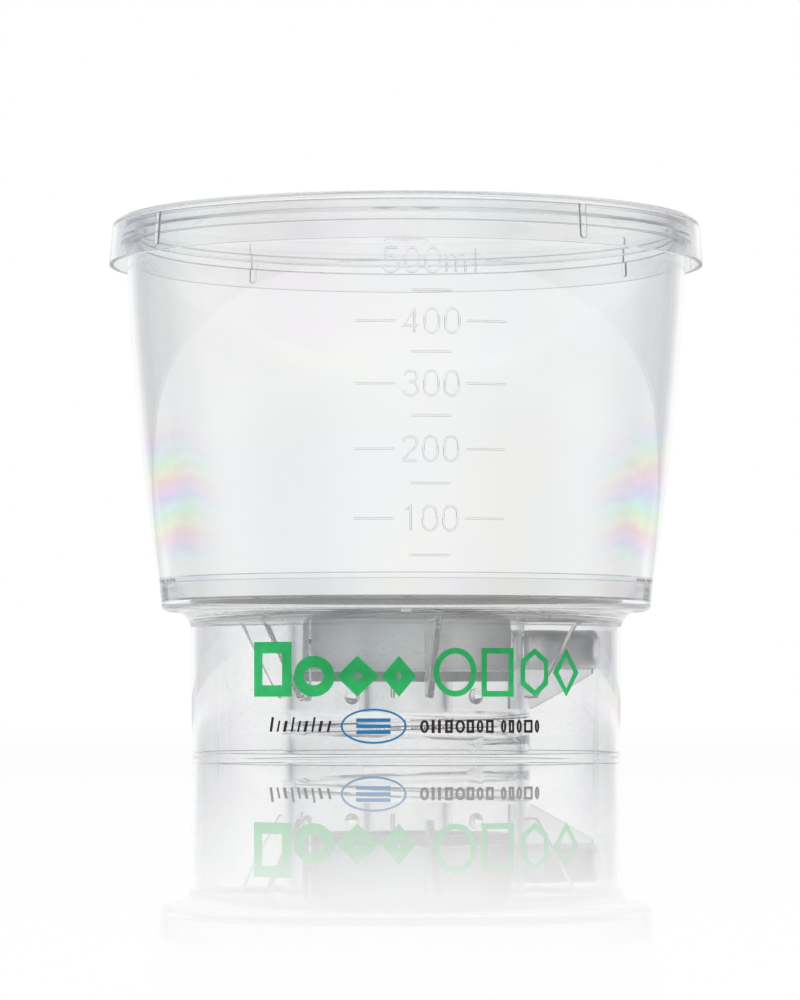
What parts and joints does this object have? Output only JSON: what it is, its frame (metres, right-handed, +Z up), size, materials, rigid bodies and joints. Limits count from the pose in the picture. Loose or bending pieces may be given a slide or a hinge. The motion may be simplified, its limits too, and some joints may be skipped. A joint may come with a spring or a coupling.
{
  "type": "bottle-top vacuum filtration unit",
  "caption": "Clear lidded funnel joined to a skirted base with a membrane; screws onto a bottle neck and filters by vacuum through a side port.",
  "frame": {"origin": "centre of the foot ring that the skirt stands on", "axes": "+Z up along the axis of the funnel and the bottle neck; the label faces -Y and the vacuum port points 21 degrees from +X towards +Y"},
  "size_m": [0.1184, 0.1184, 0.1069],
  "materials": {
    "clear_base": "clear, polished",
    "clear_funnel": "clear, polished",
    "clear_lid": "clear, polished",
    "membrane": "matt, microporous",
    "seal": "translucent, satin",
    "filter": "fibrous",
    "film": "clear film with green, black and blue print"
  },
  "bodies": {
    "unit": {"base": "clear_base", "funnel": "clear_funnel", "membrane": "membrane", "neck_seal": "seal", "port_filter": "filter", "label": "film"},
    "lid": {"lid": "clear_lid"}
  },
  "joints": [
    {"name": "lid_lift", "type": "slide", "parent": "unit", "child": "lid", "axis": [0, 0, 1], "range_m": [0, 0.015]}
  ]
}
